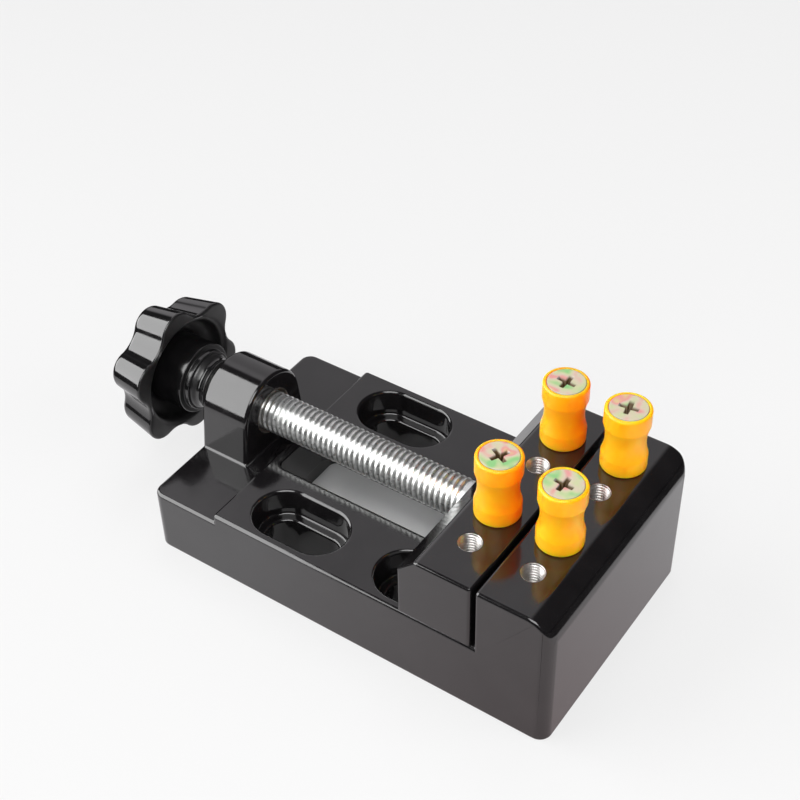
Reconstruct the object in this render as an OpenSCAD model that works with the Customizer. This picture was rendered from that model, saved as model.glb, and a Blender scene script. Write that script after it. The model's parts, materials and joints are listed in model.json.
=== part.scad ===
// Small bench vise that holds circuit boards between two rows of waisted pegs.
// The fixed jaw, the two rails and the rear post are one casting.
// The moving jaw slides on the rails and is driven by a lead screw with a star knob.
// Sizes are in millimetres. X runs along the screw, from the knob to the fixed jaw. Z is up.

/* [Base casting] */
// Length of the base along the screw
base_len = 109.2; // [106:0.2:130]
// Width of the base and of both jaws
base_w = 62; // [60:0.5:80]
// Height of the rails that the moving jaw slides on
rail_h = 19.6; // [18.6:0.1:20.4]
// Height of the platform under the post
platform_h = 17.1; // [14:0.1:18]
// Length of the platform
platform_len = 19; // [15:0.1:20]
// Height of both jaws above the table
jaw_h = 37.6; // [36:0.1:42]
// Rounding of the upright corners
corner_r = 3; // [1:0.1:5]
// Thickness of the fixed jaw
fixed_jaw_len = 18.5; // [14:0.1:20]
// Rounding of the fixed jaw's outer top edge
fixed_jaw_round = 6.2; // [2:0.1:6.6]

/* [Guide channel] */
// Width of the channel between the rails
channel_w = 18.2; // [16:0.1:20]
// Start of the channel, from the knob end of the base
channel_start = 21.4; // [20.2:0.1:23]
// Metal left between the channel and the fixed jaw's face
channel_stop = 0.9; // [0.4:0.1:1.1]
// Rounding of the channel's corners
channel_corner_r = 2; // [0.5:0.1:4]
// Width of the recess under the rails
recess_w = 30; // [26:0.1:31]
// Height of the recess under the rails
recess_h = 7; // [6.2:0.1:9]
// How far the recess runs past each end of the channel
recess_extra = 2; // [0.5:0.1:4]

/* [Bolt slots] */
// Distance between the slots along the base
slot_pitch_x = 34.6; // [32:0.1:38]
// Distance between the slots across the base
slot_pitch_y = 42.4; // [41.2:0.1:43.4]
// Middle of the slots, from the knob end of the base
slot_mid_x = 54.8; // [50:0.1:58]
// Straight length of each slot
slot_straight = 9.8; // [4:0.1:12]
// Half width of the through slot
slot_r = 4.8; // [2.5:0.1:4.9]
// Half width of the pocket for the bolt head
pocket_r = 7.2; // [6:0.1:7.8]
// Height of the pocket's floor above the table
pocket_floor = 12.2; // [10:0.1:15]

/* [Rear post] */
// Length of the post along the screw
post_len = 13.6; // [9:0.1:14.6]
// Radius of the post's round top
post_r = 10.6; // [8.5:0.1:10.8]
// Width of the post at its foot
post_foot_w = 23.8; // [22:0.1:30]
// Height of the screw's axis above the table
screw_z = 26.4; // [26:0.1:27.4]
// Chamfer at both ends of the threaded bore
bore_chamfer = 0.8; // [0.2:0.1:1.5]

/* [Moving jaw] */
// Thickness of the moving jaw
jaw_len = 18.5; // [17.5:0.1:20]
// Chamfer of the moving jaw's rear top edge
jaw_chamfer = 4.7; // [2:0.1:5]
// Gap between the jaws as stored
rest_gap = 1; // [0.5:0.1:1.1]
// Depth of the screw's socket in the jaw
socket_depth = 11; // [9.5:0.1:12.5]
// Clearance around the screw in the socket
socket_clear = 0.4; // [0.2:0.05:0.6]
// Clearance on each sliding face
slide_clear = 0.1; // [0.05:0.01:0.3]
// Start of the guide boss, from the jaw's rear face
boss_start = 6.6; // [6.2:0.1:8]
// Metal left between the guide boss and the jaw's face
boss_stop = 1.6; // [1.2:0.1:3]

/* [Keeper under the rails] */
// Length of the keeper plate
keeper_len = 13; // [10:0.1:14]
// Thickness of the keeper plate
keeper_t = 3; // [2:0.1:3.2]
// Clearance between the keeper plate and the recess on each side
keeper_side_clear = 1; // [0.3:0.1:2]
// Distance between the two keeper screws
keeper_screw_pitch = 10; // [8:0.1:11]
// Radius of the keeper screws
keeper_screw_r = 2; // [1.5:0.1:2]
// How far the keeper screws reach into the boss
keeper_screw_reach = 8; // [4:0.1:10]
// Radius of the keeper screws' heads
keeper_head_r = 3.5; // [3:0.1:3.8]
// Height of the keeper screws' heads
keeper_head_h = 2; // [1.2:0.1:2.2]
// Thickness of the lock washers
lock_washer_t = 0.9; // [0.5:0.1:1]

/* [Lead screw] */
// Radius of the lead screw
screw_r = 5; // [4.6:0.05:5.1]
// Clearance of running and pressed fits
fit_clear = 0.05; // [0.02:0.01:0.1]
// Radius of the retaining groove near the nose
groove_r = 3.6; // [3.2:0.1:4]
// Middle of the groove, from the jaw's rear face
groove_at = 4.2; // [3.6:0.1:4.6]
// Radius of the two retaining pins
pin_r = 1.25; // [1:0.05:1.3]
// Side play of the pins in the groove
pin_play = 0.15; // [0.1:0.05:0.4]
// How far the pins reach above the screw's axis
pin_above = 4; // [2:0.1:5]
// Radius of the thrust disc at the end of the socket
disc_r = 4.6; // [3.5:0.1:4.6]
// Thickness of the thrust disc
disc_t = 1.5; // [0.8:0.1:2]
// End play between the screw's nose and the thrust disc
end_play = 0.1; // [0.05:0.05:0.3]
// Chamfer of the screw's nose
nose_chamfer = 1; // [0.3:0.1:1.4]

/* [Star knob] */
// Number of lobes
lobes = 6; // [5:1:8]
// Turn of the lobes about the screw, in degrees
lobe_turn = 37; // [0:1:60]
// Radius to the tips of the lobes
knob_tip_r = 18.7; // [17.4:0.1:20]
// Radius to the bottoms of the scallops
knob_waist_r = 16.2; // [15.6:0.1:16.8]
// Rounding of each scallop
scallop_r = 11; // [8:0.1:16]
// Thickness of the lobed head
knob_head_t = 11.3; // [8:0.1:14]
// Size of the head's outer face against its back
knob_taper = 0.88; // [0.8:0.01:0.98]
// Radius of the round hollow in the back of the head
knob_hollow_r = 13.4; // [11:0.1:14]
// Depth of the hollow in the back of the head
knob_hollow = 5.6; // [2:0.1:6]
// Rounding of the head's outer rim
knob_rim_round = 1.8; // [0.5:0.1:2.6]
// Radius of the hub next to the head
hub_wide_r = 9.1; // [8.4:0.1:10]
// Radius of the hub's short step
hub_mid_r = 7.8; // [7.5:0.1:8.2]
// Radius of the hub's end
hub_thin_r = 7.1; // [6.9:0.1:7.4]
// Length of the wide part behind the head
hub_wide_len = 4.8; // [3.6:0.1:6]
// Length of the short step
hub_mid_len = 1.5; // [0.5:0.1:3]
// Length of the hub's end
hub_thin_len = 4.1; // [2:0.1:6]
// Gap between the hub and the post as stored
hub_gap = 2.6; // [1.5:0.1:8]
// Radius of the threaded insert in the knob
insert_r = 6.2; // [5.8:0.1:6.5]
// How far the insert reaches into the head
insert_reach = 2; // [0.5:0.1:4]
// Thickness of the knob over the insert's end
insert_cover = 1.5; // [0.5:0.1:3]
// Radius of the grub screw that locks the knob
grub_r = 1.5; // [1:0.1:1.7]

/* [Peg holes] */
// Offset of the inner holes from the middle
hole_inner = 8.5; // [8.4:0.1:10]
// Offset of the outer holes from the middle
hole_outer = 19.5; // [18:0.1:24]
// Moving jaw's holes, from its front face
moving_hole_back = 7.2; // [6:0.1:8]
// Fixed jaw's holes, from its front face
fixed_hole_back = 7.2; // [6:0.1:8]
// Wall radius of the tapped holes
tap_r = 2.1; // [1.6:0.05:2.3]
// Depth of the tapped holes
tap_depth = 14; // [10:0.1:15]
// Radius of the countersink at each hole's mouth
tap_mouth_r = 2.75; // [2.5:0.05:3]

/* [Pegs] */
// Height of the sleeves
sleeve_h = 16.6; // [12:0.1:24]
// Radius of the sleeves at both ends
sleeve_r = 5.3; // [5.3:0.1:6]
// Radius of the sleeves at the waist
sleeve_waist_r = 4.6; // [4.2:0.05:4.9]
// Height of the middle of the waist
sleeve_waist_z = 8; // [6.5:0.1:8.5]
// Length of the waist along the sleeve
sleeve_waist_len = 8.6; // [4:0.1:10]
// Rounding of the sleeves' end rims
sleeve_rim_round = 0.6; // [0.2:0.1:0.6]
// Radius of the hole through the sleeves
sleeve_bore_r = 2.8; // [2.6:0.05:3]
// Radius of the countersunk heads
peg_head_r = 4.45; // [4.2:0.05:4.6]
// Height of the straight edge of the countersunk heads
peg_head_edge = 0.4; // [0.2:0.1:0.8]
// Radius of the peg screws
peg_screw_r = 2.5; // [2.4:0.05:2.5]
// How far the peg screws reach into the jaws
peg_screw_reach = 9; // [5:0.1:9.5]

/* [Hidden] */
$fn = 64;
// Extra length that lets a cut pass a face cleanly
cut = 1;
// Extra radius of the knob's blank, so that its rounding crosses the lobes at an angle
rim_margin = 0.15;
// How far the knob's lobes reach into its scallops, so that their arcs cross
lobe_overlap = 0.02;

// Where things are along the screw, from the knob end of the base
fixed_face = base_len - fixed_jaw_len;
jaw_front = fixed_face - rest_gap;
jaw_rear = jaw_front - jaw_len;
boss_rear = jaw_rear + boss_start;
boss_front = jaw_front - boss_stop;
boss_mid = (boss_rear + boss_front) / 2;
socket_end = jaw_rear + socket_depth;
nose_end = socket_end - disc_t - end_play;
groove_mid = jaw_rear + groove_at;
channel_end = fixed_face - channel_stop;
hub_end = -hub_gap;
head_back = hub_end - hub_thin_len - hub_mid_len - hub_wide_len;
head_front = head_back - knob_head_t;
insert_end = head_back - insert_reach;
insert_front = hub_end - insert_cover;
moving_hole_x = jaw_front - moving_hole_back;
fixed_hole_x = fixed_face + fixed_hole_back;

// The origin is under the middle of the whole vise, on the table
base_start = -(base_len + head_front) / 2;

// Heights
jaw_foot = rail_h + slide_clear;
keeper_top = recess_h - slide_clear;
keeper_foot = keeper_top - keeper_t;
washer_foot = keeper_foot - lock_washer_t;

// Half width of the tongue that runs in the channel
boss_half = channel_w / 2 - slide_clear;
// Offset of the retaining pins from the screw's axis
pin_offset = groove_r + pin_play + pin_r;

cast_paint = [0.10, 0.10, 0.105];
knob_black = [0.06, 0.06, 0.065];
sleeve_amber = [1.0, 0.66, 0.06];
zinc = [0.80, 0.81, 0.82];
chromate = [0.86, 0.84, 0.66];
brass = [0.80, 0.64, 0.32];
steel = [0.62, 0.63, 0.65];

// Moves a piece from the base's knob end to the common origin
module placed(x = 0, y = 0, z = 0)
    translate([base_start + x, y, z]) children();

// Draws a YZ outline and runs it along X
module along_x(from, to)
    translate([from, 0, 0]) rotate([90, 0, 90]) linear_extrude(to - from) children();

// Draws an XZ outline and runs it across the full width
module across(width)
    translate([0, width / 2, 0]) rotate([90, 0, 0]) linear_extrude(width) children();

// A round bar along X
module bar_x(from, to, r)
    translate([from, 0, 0]) rotate([0, 90, 0]) cylinder(h = to - from, r = r);

// A cone along X
module cone_x(from, to, r_from, r_to)
    translate([from, 0, 0]) rotate([0, 90, 0]) cylinder(h = to - from, r1 = r_from, r2 = r_to);

// A rectangle with round corners, from one corner
module round_rect(size, r) {
    translate([r, 0])
        square([size.x - 2 * r, size.y]);
    translate([0, r])
        square([size.x, size.y - 2 * r]);
    for (x = [r, size.x - r], y = [r, size.y - r])
        translate([x, y]) circle(r);
}

// A slot with round ends, about its middle
module obround(straight, r) {
    square([straight, 2 * r], center = true);
    for (side = [-1, 1])
        translate([side * straight / 2, 0]) circle(r);
}

// A tapped hole downward from z = 0, with a countersunk mouth
module tapped_hole() {
    translate([0, 0, -tap_depth])
        cylinder(h = tap_depth + cut, r = tap_r);
    mouth = tap_mouth_r - tap_r;
    translate([0, 0, -mouth])
        cylinder(h = 2 * mouth, r1 = tap_r, r2 = tap_r + 2 * mouth);
}

// The four tapped holes of one jaw
module jaw_holes(x)
    for (y = [-hole_outer, -hole_inner, hole_inner, hole_outer])
        translate([x, y, jaw_h]) tapped_hole();

// Side view of the platform, the rails and the fixed jaw
module base_side() {
    square([base_len, platform_h]);
    translate([platform_len, 0])
        square([base_len - platform_len, rail_h]);
    translate([fixed_face, 0]) {
        square([fixed_jaw_len - fixed_jaw_round, jaw_h]);
        square([fixed_jaw_len, jaw_h - fixed_jaw_round]);
        translate([fixed_jaw_len - fixed_jaw_round, jaw_h - fixed_jaw_round])
            circle(fixed_jaw_round);
    }
}

// End view of the post: leaning sides that run tangent into the round top
module post_end() {
    foot = post_foot_w / 2;
    drop = screw_z - platform_h;
    reach = norm([foot, drop]);
    lean = acos(post_r / reach) - atan2(drop, foot);
    tangent = [post_r * cos(lean), screw_z + post_r * sin(lean)];
    translate([0, screw_z])
        circle(post_r);
    polygon([
        [-foot, 0], [foot, 0], [foot, platform_h], tangent,
        [-tangent.x, tangent.y], [-foot, platform_h]
    ]);
}

// One slot with a pocket for the bolt head
module bolt_slot() {
    translate([0, 0, -cut])
        linear_extrude(pocket_floor + 2 * cut) obround(slot_straight, slot_r);
    translate([0, 0, pocket_floor])
        linear_extrude(rail_h) obround(slot_straight, pocket_r);
}

module base() color(cast_paint) placed() difference() {
    union() {
        intersection() {
            across(base_w) base_side();
            translate([0, -base_w / 2, 0])
                linear_extrude(jaw_h) round_rect([base_len, base_w], corner_r);
        }
        along_x(0, post_len) post_end();
    }
    // Channel between the rails, and the wider recess under it for the keeper
    translate([channel_start, -channel_w / 2, -cut])
        linear_extrude(rail_h + 2 * cut)
            round_rect([channel_end - channel_start, channel_w], channel_corner_r);
    translate([channel_start - recess_extra, -recess_w / 2, -cut])
        linear_extrude(recess_h + cut)
            round_rect([channel_end - channel_start + 2 * recess_extra, recess_w], channel_corner_r);
    for (x = [-1, 1], y = [-1, 1])
        translate([slot_mid_x + x * slot_pitch_x / 2, y * slot_pitch_y / 2, 0]) bolt_slot();
    // Threaded bore of the post
    translate([0, 0, screw_z]) {
        bar_x(-cut, post_len + cut, screw_r + fit_clear);
        cone_x(-cut, bore_chamfer, screw_r + bore_chamfer + cut, screw_r);
        cone_x(post_len - bore_chamfer, post_len + cut, screw_r, screw_r + bore_chamfer + cut);
    }
    jaw_holes(fixed_hole_x);
}

// Side view of the moving jaw above the rails
module jaw_side()
    polygon([
        [jaw_rear, jaw_foot], [jaw_front, jaw_foot], [jaw_front, jaw_h],
        [jaw_rear + jaw_chamfer, jaw_h], [jaw_rear, jaw_h - jaw_chamfer]
    ]);

module moving_jaw() color(cast_paint) placed() difference() {
    union() {
        across(base_w) jaw_side();
        // Guide boss that runs in the channel down to the keeper plate
        translate([boss_rear, -boss_half, keeper_top])
            linear_extrude(jaw_foot - keeper_top + cut)
                round_rect([boss_front - boss_rear, 2 * boss_half], channel_corner_r);
    }
    translate([0, 0, screw_z])
        bar_x(jaw_rear - cut, socket_end, screw_r + socket_clear);
    for (side = [-1, 1]) {
        translate([groove_mid, side * pin_offset, jaw_foot - cut])
            cylinder(h = screw_z + pin_above - jaw_foot + cut, r = pin_r + fit_clear);
        translate([boss_mid, side * keeper_screw_pitch / 2, keeper_top - cut])
            cylinder(h = keeper_screw_reach + 2 * cut, r = keeper_screw_r + fit_clear);
    }
    jaw_holes(moving_hole_x);
}

// The plate that holds the jaw down, under both rails
module keeper_plate() color(steel) placed(boss_mid, 0, keeper_foot) difference() {
    width = recess_w - 2 * keeper_side_clear;
    translate([-keeper_len / 2, -width / 2, 0])
        linear_extrude(keeper_t) round_rect([keeper_len, width], channel_corner_r);
    for (side = [-1, 1])
        translate([0, side * keeper_screw_pitch / 2, -cut])
            cylinder(h = keeper_t + 2 * cut, r = keeper_screw_r + fit_clear);
}

module keeper_screws() color(zinc)
    for (side = [-1, 1])
        placed(boss_mid, side * keeper_screw_pitch / 2, washer_foot) {
            cylinder(h = keeper_top - washer_foot + keeper_screw_reach, r = keeper_screw_r);
            translate([0, 0, -keeper_head_h])
                cylinder(h = keeper_head_h, r = keeper_head_r);
        }

module lock_washers() color(steel)
    for (side = [-1, 1])
        placed(boss_mid, side * keeper_screw_pitch / 2, washer_foot) difference() {
            cylinder(h = lock_washer_t, r = keeper_head_r);
            translate([0, 0, -cut])
                cylinder(h = lock_washer_t + 2 * cut, r = keeper_screw_r + fit_clear);
        }

// The screw from inside the knob to its chamfered nose, with a groove for the retaining pins
module lead_screw() color(zinc) placed(0, 0, screw_z) difference() {
    union() {
        bar_x(insert_end + end_play, nose_end - nose_chamfer, screw_r);
        cone_x(nose_end - nose_chamfer, nose_end, screw_r, screw_r - nose_chamfer);
    }
    groove_half = pin_r + pin_play;
    difference() {
        bar_x(groove_mid - groove_half, groove_mid + groove_half, screw_r + cut);
        bar_x(groove_mid - groove_half - cut, groove_mid + groove_half + cut, groove_r);
    }
}

module retaining_pins() color(steel)
    for (side = [-1, 1])
        placed(groove_mid, side * pin_offset, jaw_foot)
            cylinder(h = screw_z + pin_above - jaw_foot - end_play, r = pin_r);

module thrust_disc() color(steel) placed(0, 0, screw_z)
    bar_x(socket_end - disc_t, socket_end, disc_r);

// Star outline: round lobes with scallops cut between them, which meet almost at a tangent
module star(tip_r, waist_r, r) {
    half_step = 180 / lobes;
    scallop_centre = waist_r + r;
    touch_r = r - lobe_overlap;
    spread = 2 * scallop_centre * cos(half_step);
    lobe_r = (pow(scallop_centre, 2) + pow(tip_r, 2) - pow(touch_r, 2) - tip_r * spread)
        / (2 * touch_r + 2 * tip_r - spread);
    lobe_centre = tip_r - lobe_r;
    difference() {
        union() {
            polygon([for (i = [0 : lobes - 1], part = [0, 1])
                let (a = (2 * i + part) * half_step, d = part == 0 ? lobe_centre : scallop_centre)
                [d * cos(a), d * sin(a)]]);
            for (i = [0 : lobes - 1])
                rotate(2 * i * half_step) translate([lobe_centre, 0]) circle(lobe_r);
        }
        for (i = [0 : lobes - 1])
            rotate((2 * i + 1) * half_step) translate([scallop_centre, 0]) circle(r);
    }
}

// The lobed head before its rim is rounded, smaller at its outer face
module tapered_star()
    translate([head_front, 0, 0]) rotate([90, 0, 90]) linear_extrude(knob_head_t, scale = 1 / knob_taper)
        rotate(lobe_turn) star(knob_tip_r * knob_taper, knob_waist_r * knob_taper, scallop_r * knob_taper);

// Half section of the head's blank: a disc with an outer rim that is rounded to the lobes' tips
module head_section() {
    size_at_rim = knob_taper + (1 - knob_taper) * knob_rim_round / knob_head_t;
    rim_centre = knob_tip_r * size_at_rim + rim_margin - knob_rim_round;
    square([rim_centre, knob_head_t]);
    translate([0, knob_rim_round])
        square([knob_tip_r + cut, knob_head_t - knob_rim_round]);
    translate([rim_centre, knob_rim_round])
        circle(knob_rim_round);
}

module star_knob() color(knob_black) placed(0, 0, screw_z) difference() {
    union() {
        difference() {
            intersection() {
                tapered_star();
                translate([head_front, 0, 0]) rotate([0, 90, 0]) rotate_extrude() head_section();
            }
            bar_x(head_back - knob_hollow, head_back + cut, knob_hollow_r);
        }
        bar_x(head_back - knob_hollow - cut, head_back + hub_wide_len, hub_wide_r);
        bar_x(head_back, head_back + hub_wide_len + hub_mid_len, hub_mid_r);
        bar_x(head_back, hub_end, hub_thin_r);
    }
    bar_x(insert_end, insert_front, insert_r + fit_clear);
    bar_x(insert_end, hub_end + cut, screw_r + socket_clear);
    grub_hole(hub_wide_r + cut);
}

// Hole for the grub screw, down through the wide part of the hub
module grub_hole(reach)
    translate([head_back + hub_wide_len / 2, 0, -reach])
        cylinder(h = reach, r = grub_r + fit_clear);

module knob_insert() color(brass) placed(0, 0, screw_z) difference() {
    bar_x(insert_end, insert_front, insert_r);
    bar_x(insert_end - cut, insert_front + cut, screw_r + fit_clear);
    grub_hole(hub_wide_r);
}

module grub_screw() color(steel)
    placed(head_back + hub_wide_len / 2, 0, screw_z - hub_wide_r + end_play)
        cylinder(h = hub_wide_r - screw_r - 3 * end_play, r = grub_r);

// Half section of a sleeve: round rims at both ends and a hollow waist between them
module sleeve_section() {
    depth = sleeve_r - sleeve_waist_r;
    waist_round = (pow(sleeve_waist_len / 2, 2) + pow(depth, 2)) / (2 * depth);
    difference() {
        union() {
            translate([0, sleeve_rim_round])
                square([sleeve_r, sleeve_h - 2 * sleeve_rim_round]);
            square([sleeve_r - sleeve_rim_round, sleeve_h]);
            for (z = [sleeve_rim_round, sleeve_h - sleeve_rim_round])
                translate([sleeve_r - sleeve_rim_round, z]) circle(sleeve_rim_round);
        }
        translate([sleeve_waist_r + waist_round, sleeve_waist_z])
            circle(waist_round, $fn = 128);
        translate([0, -cut])
            square([sleeve_bore_r, sleeve_h + 2 * cut]);
        // Seat of the countersunk head
        seat_r = peg_head_r + fit_clear;
        seat_foot = sleeve_h - peg_head_edge - seat_r + sleeve_bore_r;
        polygon([
            [0, seat_foot], [sleeve_bore_r, seat_foot], [seat_r, sleeve_h - peg_head_edge],
            [seat_r, sleeve_h + cut], [0, sleeve_h + cut]
        ]);
    }
}

module sleeve(x, y) color(sleeve_amber) placed(x, y, jaw_h)
    rotate_extrude() sleeve_section();

// Countersunk screw from the flush head down into the tapped hole
module peg_screw(x, y) color(chromate) placed(x, y, jaw_h) {
    head_foot = sleeve_h - peg_head_edge - peg_head_r + peg_screw_r;
    rotate_extrude() polygon([
        [0, -peg_screw_reach], [tap_r - fit_clear, -peg_screw_reach], [tap_r - fit_clear, 0],
        [peg_screw_r, 0], [peg_screw_r, head_foot], [peg_head_r, sleeve_h - peg_head_edge],
        [peg_head_r, sleeve_h], [0, sleeve_h]
    ]);
}

base();
moving_jaw();
keeper_plate();
keeper_screws();
lock_washers();
lead_screw();
retaining_pins();
thrust_disc();
star_knob();
knob_insert();
grub_screw();
sleeve(moving_hole_x, -hole_inner);  // moving_near_sleeve
sleeve(moving_hole_x, hole_outer);  // moving_far_sleeve
sleeve(fixed_hole_x, -hole_inner);  // fixed_near_sleeve
sleeve(fixed_hole_x, hole_outer);  // fixed_far_sleeve
peg_screw(moving_hole_x, -hole_inner);  // moving_near_screw
peg_screw(moving_hole_x, hole_outer);  // moving_far_screw
peg_screw(fixed_hole_x, -hole_inner);  // fixed_near_screw
peg_screw(fixed_hole_x, hole_outer);  // fixed_far_screw
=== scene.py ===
"""Looks of a small circuit board vise: glossy black castings, a zinc lead screw and amber pegs.

Sizes are in millimetres and are turned into metres by MM. Along the screw they are measured from the
knob end of the base, as in the part's source, and place() turns them into the common frame. Only the
lamps are placed in metres.
"""

import json
import math

import bmesh
import bpy
from mathutils import Matrix, Vector

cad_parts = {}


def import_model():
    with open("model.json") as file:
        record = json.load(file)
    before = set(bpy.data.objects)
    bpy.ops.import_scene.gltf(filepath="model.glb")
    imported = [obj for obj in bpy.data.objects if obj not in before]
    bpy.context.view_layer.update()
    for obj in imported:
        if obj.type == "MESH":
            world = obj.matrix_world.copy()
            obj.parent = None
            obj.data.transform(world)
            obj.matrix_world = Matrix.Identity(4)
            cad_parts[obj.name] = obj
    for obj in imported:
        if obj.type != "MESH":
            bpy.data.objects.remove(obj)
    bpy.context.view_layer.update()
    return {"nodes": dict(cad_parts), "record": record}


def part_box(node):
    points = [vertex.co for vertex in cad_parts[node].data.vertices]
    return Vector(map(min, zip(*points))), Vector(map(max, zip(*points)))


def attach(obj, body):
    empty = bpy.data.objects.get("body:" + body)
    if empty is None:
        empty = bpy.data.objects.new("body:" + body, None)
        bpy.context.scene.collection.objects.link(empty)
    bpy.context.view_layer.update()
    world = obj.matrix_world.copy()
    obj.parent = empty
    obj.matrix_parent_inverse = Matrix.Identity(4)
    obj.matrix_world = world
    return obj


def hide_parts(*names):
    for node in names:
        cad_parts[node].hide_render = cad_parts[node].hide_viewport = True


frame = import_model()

MM = 0.001
KNOB_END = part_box("base")[0].x


def span(node):
    """Where a CAD node starts and ends along the screw, in millimetres from the base's knob end."""
    low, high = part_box(node)
    return (low.x - KNOB_END) / MM, (high.x - KNOB_END) / MM


def place(x, y, z):
    """A point in the common frame, from millimetres along the base, across it and above the table."""
    return Vector((KNOB_END + x * MM, y * MM, z * MM))


# Sizes shared with the part's source
BASE_LENGTH = span("base")[1]
BASE_HALF_WIDTH = 31.0
FIXED_JAW_LENGTH = 18.5
FIXED_FACE = BASE_LENGTH - FIXED_JAW_LENGTH
CHANNEL_SETBACK = 0.9
CHANNEL_END = FIXED_FACE - CHANNEL_SETBACK
RAIL_TOP = 19.6
JAW_TOP = 37.6
POCKET_FLOOR = 12.2
POST_LENGTH = 13.6
SCREW_Z = 26.4
BORE_MOUTH_RADIUS = 5.85
JAW_REAR, JAW_FRONT = span("moving_jaw")
HOLE_SETBACK = 7.2
MOVING_HOLES_X = JAW_FRONT - HOLE_SETBACK
FIXED_HOLES_X = FIXED_FACE + HOLE_SETBACK
HOLES_Y = (-19.5, -8.5, 8.5, 19.5)
EMPTY_HOLES_Y = HOLES_Y[0::2]
PEG_HOLES_Y = HOLES_Y[1::2]
TAP_RADIUS = 2.1
TAP_DEPTH = 14.0

# Each jaw with the place of its holes and the body that it belongs to, and the names of its two sides
JAWS = (("moving", MOVING_HOLES_X, "carriage"), ("fixed", FIXED_HOLES_X, "bed"))
SIDES = ("near", "far")

# Thread of one tapped hole, made as a liner that stands a little clear of the casting
TAP_PITCH = 0.8
TAP_MOUTH_RADIUS = 2.75
TAP_MAJOR_RADIUS = 2.5
TAP_WALL_RADIUS = 2.62
LINER_DROP = 0.03
LINER_SHORTFALL = 0.6
LINER_GAP = 0.03
MOUTH_GAP = 0.06
LIP_DROP = 0.2

# Lead screw
SCREW_PITCH = 1.5
SCREW_CREST = 5.0
SCREW_ROOT = 4.65
SCREW_BACK, NOSE_END = span("lead_screw")
THREAD_END = JAW_REAR - 2.2
COLLAR_RADIUS = 4.8
GROOVE_START = JAW_REAR + 2.8
GROOVE_END = JAW_REAR + 5.6
GROOVE_RADIUS = 3.6
TURNED_EDGE = 0.15
# Radius of the nose, and distance from its end, where its soft chamfer bends
NOSE_CHAMFER = ((4.95, 1.0), (4.85, 0.85), (4.1, 0.05), (4.0, 0.0))
NOSE_RADIUS = NOSE_CHAMFER[0][0]

# Star knob, its tips a little prouder and its scallops a little deeper than the source's plain star
LOBES = 6
LOBE_TURN = 38.0
TIP_RADIUS = 19.0
WAIST_RADIUS = 15.3
SCALLOP_RADIUS = 7.0
LOBE_STEPS = 48
SCALLOP_STEPS = 32
HEAD_FRONT, HUB_END = span("star_knob")
HEAD_THICKNESS = 11.3
HEAD_BACK = HEAD_FRONT + HEAD_THICKNESS
HEAD_TAPER = 0.88
FACE_LOOP_RADII = (3.0, 11.0)
FACE_MARGIN = 0.4
FRONT_RIM = 1.8
BACK_RIM = 0.8
FLANK_MARGIN = 0.2
HOLLOW_RADIUS = 13.4
HOLLOW_DEPTH = 5.6
HOLLOW_FLOOR = HEAD_BACK - HOLLOW_DEPTH
HOLLOW_LIP = 1.5
HOLLOW_BOWL = 3.2
# Radius of each step of the hub, and where it ends
HUB_STEPS = ((9.1, HEAD_BACK + 4.8), (7.8, HEAD_BACK + 6.3), (7.1, HUB_END))
HUB_FOOT_ROUND = 1.4
HUB_EDGE = 0.35
HUB_CORNER = 0.25
HUB_BORE = 5.4
HUB_BORE_EDGE = 0.3
HUB_BORE_DEPTH = 1.5
NECK_RADIUS = 6.3
NECK_SETBACKS = (0.3, 0.8)
NECK_STEPS = 12

# Pegs: sleeve and screw
SLEEVE_HEIGHT = 16.6
SLEEVE_RADIUS = 5.3
SLEEVE_WAIST_RADIUS = 4.6
SLEEVE_WAIST_HEIGHT = 8.0
SLEEVE_WAIST_LENGTH = 8.6
SLEEVE_RIM = 0.6
SLEEVE_BORE = 2.8
SLEEVE_BORE_EDGE = 0.1
SEAT_GAP = 0.05
SEAT_EDGE = 0.08
PEG_TOP = JAW_TOP + SLEEVE_HEIGHT
HEAD_RADIUS = 4.45
HEAD_EDGE = 0.4
HEAD_ROUND = 0.3
HEAD_SOFT = 0.05
HEAD_EDGE_LIFT = 0.02
HEAD_FLAT_RADIUS = HEAD_RADIUS - 0.5
HEAD_MIDDLE_RADIUS = 0.8
CONE_FOOT_RADIUS = 2.5
# Radius and height over the jaw of the screw's tip, of its stretch in the jaw and of its shank above
SHANK = ((0.6, -9.0), (1.7, -9.0), (2.02, -8.6), (2.02, -0.1), (2.1, 0.0), (2.4, 0.05), (2.48, 0.15))
SHANK_RADIUS = SHANK[-1][0]
PEG_SCREW_STEPS = 72
PEG_SCREW_ROUNDING = 0.09
# Half width and reach of the recess's arms, and the height over the head at which they have them
RECESS_LEVELS = ((0.7, 2.55, 0.4), (0.62, 2.35, 0.0), (0.4, 1.25, -1.9), (0.15, 0.5, -2.5))
# Shares of an arm's reach and half width at which its outline bends
ARM_SHOULDER = 0.96
ARM_TIP = 0.7
ARM_ROOT = 1.15
# How far each recess is turned, in degrees
RECESS_TURN = {"moving_near": 63, "moving_far": -4, "fixed_near": -3, "fixed_far": 8}

# Mesh helpers

ROUND_STEPS = 96
THREAD_STEPS = 48
EDGE_ANGLE = math.radians(40)
MERGE = 1e-7
# Shares of one pitch at which a thread's outline bends, and how far it stands out there
THREAD_OUTLINE = ((0.0, 0.96), (0.06, 1.0), (0.12, 0.96), (0.28, 0.48),
                  (0.44, 0.04), (0.55, 0.0), (0.66, 0.04), (0.84, 0.5))


def added(name, data):
    """A new object in the scene."""
    made = bpy.data.objects.new(name, data)
    bpy.context.scene.collection.objects.link(made)
    return made


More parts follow.
